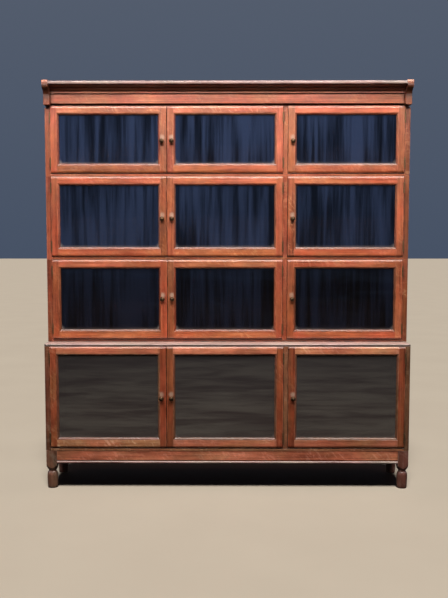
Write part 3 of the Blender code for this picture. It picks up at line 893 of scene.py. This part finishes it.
def cap():
    low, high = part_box("cap_cornice")
    left_low, left_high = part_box("cap_end_left")
    start, end = left_high.x + FIT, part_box("cap_end_right")[0].x - FIT
    nodes = ["cap_cornice"]
    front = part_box("tier1_side_left")[0].y
    top, under = high.z, high.z - NOSING_THICK

    outline = arc((low.y + NOSING_ROUND, under + NOSING_ROUND), NOSING_ROUND, 270, 180)
    outline += arc((low.y + NOSING_TOP_ROUND, top - NOSING_TOP_ROUND), NOSING_TOP_ROUND,
                   180, 90)
    outline += [(high.y, top), (high.y, under)]
    board = add_board("cap_top_board", soften(bar(X, start, end, outline)), X, nodes,
                      material=WORN_AND_SHEEN_OAK, tones=NOSING_TONES)
    shade_where(board, CAP_BACK_SHADE, lambda vert: vert.co.y > front)

    outline = cove_outline(low.y + COVE_LIP_SETBACK, front, under)
    moulding = add_board("cap_cove_moulding", soften(bar(X, start, end, outline), 0.0002, 75),
                         X, nodes, tones=COVE_TONES)
    # The fillet's lighter tone, below the cove's painted shade
    shade_where(moulding, FILLET_SHADE, lambda vert: vert.co.z < FILLET_TOP + 0.0004)

    plain_board("cap_frieze_board", Vector((start, front, FRIEZE_BOTTOM)),
                Vector((end, front + FRIEZE_THICK, under - FIT)), X, nodes,
                (FRIEZE_EDGE, ARRIS, ARRIS, ARRIS))
    board_bottom = left_low.z
    board_top = board_bottom + CAP_BOARD_THICK
    plain_board("cap_foot_board", Vector((low.x, CAP_FOOT_FRONT, low.z)),
                Vector((high.x, high.y, board_bottom - FIT)), X, nodes)
    plain_board("cap_bottom_board", Vector((start, CAP_FOOT_FRONT, board_bottom)),
                Vector((end, high.y, board_top)), X, nodes)
    plain_board("cap_back_rail", Vector((start, high.y - FRIEZE_THICK, board_top + FIT)),
                Vector((end, high.y, under - FIT)), X, nodes)
    for hand in ("left", "right"):
        cap_ear(f"cap_{hand}_ear", f"cap_end_{hand}")


def cap_ear(name, node):
    """A raised end: a rounded nose over a shallow hollow and a flat lower face."""
    low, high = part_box(node)
    face = low.y + EAR_FACE_SETBACK
    nose = arc((low.y + EAR_NOSE_TOP_RADIUS, high.z - EAR_NOSE_TOP_RADIUS),
               EAR_NOSE_TOP_RADIUS, 90, 180, 8)
    nose += arc((low.y + EAR_NOSE_RADIUS, EAR_NOSE_MIDDLE), EAR_NOSE_RADIUS, 180, 230, 7)
    hollow = arc((face - EAR_HOLLOW[0], EAR_HOLLOW_BOTTOM), EAR_HOLLOW, 58, 0, 8)
    outline = nose + hollow + [(face, low.z), (high.y, low.z), (high.y, high.z)]
    shape = soften(bar(X, low.x, high.x, outline), EAR_EDGE, 40, 2)
    ear = add_board(name, shape, Y, [node], tones=EAR_TONES)

    def in_hollow(vert):
        level = EAR_HOLLOW_BOTTOM - 0.002 < vert.co.z < EAR_NOSE_MIDDLE + 0.001
        return level and vert.co.y < face + 0.001 and abs(vert.normal.x) < 0.8

    # Painted shade in the hollow, and a painted highlight along the top
    shade_where(ear, EAR_HOLLOW_SHADE, in_hollow)
    shade_where(ear, EAR_TOP_SHADE, lambda vert: vert.co.z > high.z - EAR_NOSE_TOP_RADIUS)


# Stand

def stand():
    low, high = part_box("stand_frame")
    nodes = ["stand_frame"]
    post_low, post_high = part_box("leg_front_left")
    front = post_low.y + STAND_RAIL_INSET
    rail_back = front + STAND_RAIL_THICK
    left, right = post_high.x + FIT, -post_high.x - FIT

    bead_middle = low.z + BEAD_RADIUS
    bead_top = bead_middle + BEAD_RADIUS
    bead_back = front + BEAD_THICK
    outline = arc((front + BEAD_SETBACK, bead_middle), (BEAD_REACH, BEAD_RADIUS), 270, 90, 8)
    outline += [(bead_back, bead_top), (bead_back, low.z)]
    add_board("stand_front_bead", soften(bar(X, left, right, outline), ARRIS, 75), X, nodes,
              material=WORN_AND_SHEEN_OAK, tones=BEAD_TONES)

    groove_back, groove_bottom = front + GROOVE_DEPTH, bead_top + FIT
    groove_top = bead_top + GROOVE_HEIGHT
    outline = [
        (bead_back + FIT, low.z), (bead_back + FIT, groove_bottom),
        (groove_back, groove_bottom), (groove_back, groove_top - GROOVE_SPLAY),
        (front, groove_top), (front, high.z), (rail_back, high.z), (rail_back, low.z),
    ]
    add_board("stand_front_rail", soften(bar(X, left, right, outline), 0.0004, 75), X, nodes,
              tones=STAND_TONES)
    plain_board("stand_back_rail", Vector((left, -rail_back, low.z)),
                Vector((right, -front, high.z)), X, nodes, (SOFT_EDGE,) * 4)

    rail_start = post_low.y + (post_high.x - post_low.x) + FIT
    for hand, sign in (("left", -1), ("right", 1)):
        outer = sign * high.x
        inner = outer - sign * STAND_RAIL_THICK
        plain_board(f"stand_{hand}_rail", Vector((min(outer, inner), rail_start, low.z)),
                    Vector((max(outer, inner), -rail_start, high.z)), Y, nodes,
                    (SOFT_EDGE,) * 4)
        for row, turn in (("front", 1), ("back", -1)):
            corner_block(f"stand_{row}_{hand}_block", (inner, turn * rail_back), (sign, turn),
                         low.z, high.z)
        for row in ("front", "back"):
            leg(f"{row}_{hand}_turned_leg", f"leg_{row}_{hand}")


def corner_block(name, corner, directions, bottom, top):
    """A block glued into the corner, wrapping the back of the square post."""
    inner_x, inner_y = corner
    sign, turn = directions
    post_x = sign * (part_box("leg_front_right")[0].x - FIT)
    post_y = turn * (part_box("leg_front_left")[1].y + FIT)
    outline = [
        (post_x, inner_y), (inner_x - sign * CORNER_BLOCK, inner_y),
        (inner_x, inner_y + turn * CORNER_BLOCK), (inner_x, post_y), (post_x, post_y),
    ]
    shape = soften(bar(Z, bottom + 0.004, top - 0.001, outline), SOFT_EDGE)
    add_board(name, shape, Z, ["stand_frame"])


def leg(name, node):
    """Square post above a turned neck and barrel, worked from one piece."""
    low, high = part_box(node)
    half = (high.x - low.x) / 2
    middle = Vector(((low.x + high.x) / 2, (low.y + high.y) / 2, 0))
    barrel = arc((0.0150, 0.0030), (0.0028, 0.0030), 270, 350, 5)
    barrel += arc((0, 0.045), (0.0194, 0.1058), -23, 0)
    barrel += arc((0.0138, 0.045), (0.0056, 0.0164), 10, 86, 8)
    neck = arc((0.0154, 0.0645), (0.0020, 0.0031), 220, 140, 5)
    low_radius, low_height = LEG_SHOULDER_LOW
    post_radius, post_height = LEG_SHOULDER_HIGH
    shares = [i / SHOULDER_STEPS for i in range(1, SHOULDER_STEPS + 1)]
    shoulder = [(low_radius + (post_radius - low_radius) * share ** 0.9,
                 low_height + (post_height - low_height) * share) for share in shares]
    post = [(post_radius, high.z - 0.0004), (post_radius - 0.0006, high.z)]
    rings = []
    for radius, height in barrel + neck + shoulder + post:
        ring = []
        for i in range(LEG_STEPS):
            a = 2 * math.pi * i / LEG_STEPS
            square = half / max(abs(math.cos(a)), abs(math.sin(a)))
            reach = min(radius, square, half * LEG_EASING)
            ring.append(middle + Vector((reach * math.cos(a), reach * math.sin(a), height)))
        rings.append(ring)
    add_board(name, loft(rings), Z, [node], material=LEG_OAK, tones=LEG_TONES)


# Surroundings

def camera():
    """Straight in front, level with the third tier and tilted a little down."""
    data = bpy.data.cameras.new("camera")
    data.lens = 50.3
    data.sensor_width = 36
    data.shift_x = 0.0087
    data.shift_y = 0.0262
    tilt, turn = math.radians(4.64), math.radians(0.338)
    view = bpy.data.objects.new("camera", data)
    view.location = (-0.0128, -3.132, 0.885)
    view.rotation_euler = (math.pi / 2 - tilt, 0, turn)
    bpy.context.scene.collection.objects.link(view)
    bpy.context.scene.camera = view


def sky():
    """A dim ground, a blue horizon and a paler top, seen in the gloss but not lighting."""
    world = bpy.data.worlds.new("studio")
    world.use_nodes = True
    tree = world.node_tree
    height = tree.nodes.new("ShaderNodeSeparateXYZ")
    tree.links.new(tree.nodes.new("ShaderNodeTexCoord").outputs["Generated"], height.inputs[0])
    span = tree.nodes.new("ShaderNodeMapRange")
    span.inputs["From Min"].default_value = -1.0
    tree.links.new(height.outputs[Z], span.inputs["Value"])
    ramp = tree.nodes.new("ShaderNodeValToRGB")
    stops = ((0.478, (0.030, 0.024, 0.020, 1)), (0.488, (0.062, 0.084, 0.130, 1)),
             (0.90, (0.13, 0.15, 0.19, 1)))
    ramp.color_ramp.elements.new(0.488)
    for element, (position, color) in zip(ramp.color_ramp.elements, stops):
        element.position = position
        element.color = color
    tree.links.new(span.outputs["Result"], ramp.inputs["Fac"])
    tree.links.new(ramp.outputs["Color"], tree.nodes["Background"].inputs["Color"])
    bpy.context.scene.world = world
    world.cycles_visibility.diffuse = False


def add_floor():
    shape = bmesh.new()
    bmesh.ops.create_grid(shape, x_segments=8, y_segments=8, size=60)
    mesh = bpy.data.meshes.new("floor")
    shape.to_mesh(mesh)
    shape.free()
    s = Shader("pale_floor")
    place = s.tree.nodes.new("ShaderNodeTexCoord").outputs["Object"]
    mottle = s.noise(place, (2.5, 2.5, 2.5), detail=4)
    s.put(s.surface.inputs["Base Color"],
          s.mix(mottle, (0.58, 0.50, 0.40), (0.64, 0.56, 0.45)))
    mesh.materials.append(s.finish({"Roughness": 0.65, "Specular IOR Level": 0.08}))
    floor = bpy.data.objects.new("floor", mesh)
    floor.visible_diffuse = False
    floor.visible_glossy = False
    bpy.context.scene.collection.objects.link(floor)
    return floor


def add_light(name, kind, location, target, power, color, receivers):
    data = bpy.data.lights.new(name, kind)
    data.energy = power
    data.color = color
    light = bpy.data.objects.new(name, data)
    light.location = location
    light.rotation_euler = (Vector(target) - Vector(location)).to_track_quat("-Z", "Y").to_euler()
    light.light_linking.receiver_collection = receivers
    bpy.context.scene.collection.objects.link(light)
    return light


def area_light(name, location, target, size, power, color, receivers, spread=180):
    light = add_light(name, "AREA", location, target, power, color, receivers)
    light.data.shape = "RECTANGLE"
    light.data.size, light.data.size_y = size
    light.data.spread = math.radians(spread)
    return light


def light_group(name, member, state):
    """A group of objects that lights reach, or that they leave out."""
    group = bpy.data.collections.new(name)
    group.objects.link(member)
    group.collection_objects[0].light_linking.link_state = state
    return group


def add_lights(floor):
    """Five soft lights for the case, and one for the floor alone."""
    case_only = light_group("all_but_floor", floor, "EXCLUDE")
    floor_only = light_group("floor_only", floor, "INCLUDE")
    area_light("high_front", (0.0, -2.6, 2.60), (0, -0.05, 1.50), (2.8, 0.30), 19.5,
               (1.0, 0.96, 0.92), case_only, 60)
    area_light("overhead", (0.1, -1.3, 2.9), (0, -1.0, 0), (3.0, 0.9), 90,
               (1.0, 0.97, 0.95), case_only)
    back_fill = area_light("back_fill", (0.3, 3.2, 1.3), (0, 0.15, 0.9), (2.4, 1.4), 36,
                           (1.0, 0.98, 0.96), case_only)
    back_fill.visible_glossy = False
    for hand, sign in (("left", -1), ("right", 1)):
        area_light(f"{hand}_fill", (sign * 3.6, -0.3, 1.7), (0, -0.1, 0.9), (1.6, 1.6), 15,
                   (0.90, 0.94, 1.0), case_only)
    sun = add_light("floor_light", "SUN", (0, -1.2, 3.2), (0, 0, 0), 3.15, (1.0, 0.97, 0.94),
                    floor_only)
    sun.data.angle = math.radians(16)


# Dark, middle and light wood, the flecks' colour, the roughness, the flecks' strength
OAK = oak_material("quarter_sawn_oak", (0.24, 0.044, 0.013), (0.47, 0.105, 0.039),
                   (0.66, 0.194, 0.092), (0.74, 0.28, 0.14), 0.36, 0.60)
FADED_OAK = oak_material("faded_quarter_sawn_oak", (0.23, 0.063, 0.028), (0.43, 0.142, 0.066),
                         (0.58, 0.245, 0.136), (0.67, 0.34, 0.215), 0.36, 0.95)
# Paler oak for the ledge, the cap's top board and the front bead: worn, and a painted highlight
# where they face the overhead light
WORN_AND_SHEEN_OAK = oak_material("worn_and_sheen_quarter_sawn_oak", (0.24, 0.115, 0.078), (0.49, 0.31, 0.25),
                          (0.60, 0.44, 0.38), (0.62, 0.50, 0.42), 0.36, 0.5)
LEG_OAK = oak_material("worn_leg_oak", (0.24, 0.080, 0.042), (0.44, 0.168, 0.100),
                       (0.56, 0.31, 0.23), (0.60, 0.38, 0.28), 0.34, 0.95)
PANEL_WOOD = oak_material("dark_panel_wood", (0.075, 0.030, 0.018), (0.125, 0.055, 0.032),
                          (0.18, 0.085, 0.05), (0.19, 0.09, 0.055), 0.60, 0.2)
GLASS = glass_material()
BRASS = brass_material()

camera()
joints = {joint["child"]: joint for joint in frame["joints"]}
for tier in TIERS:
    section(tier)
    for place in HINGE_SIDES:
        door(tier, place, joints[f"{tier}_door_{place}"])
ledge()
cap()
stand()
sky()
add_lights(add_floor())

bpy.context.scene.view_settings.view_transform = "Standard"
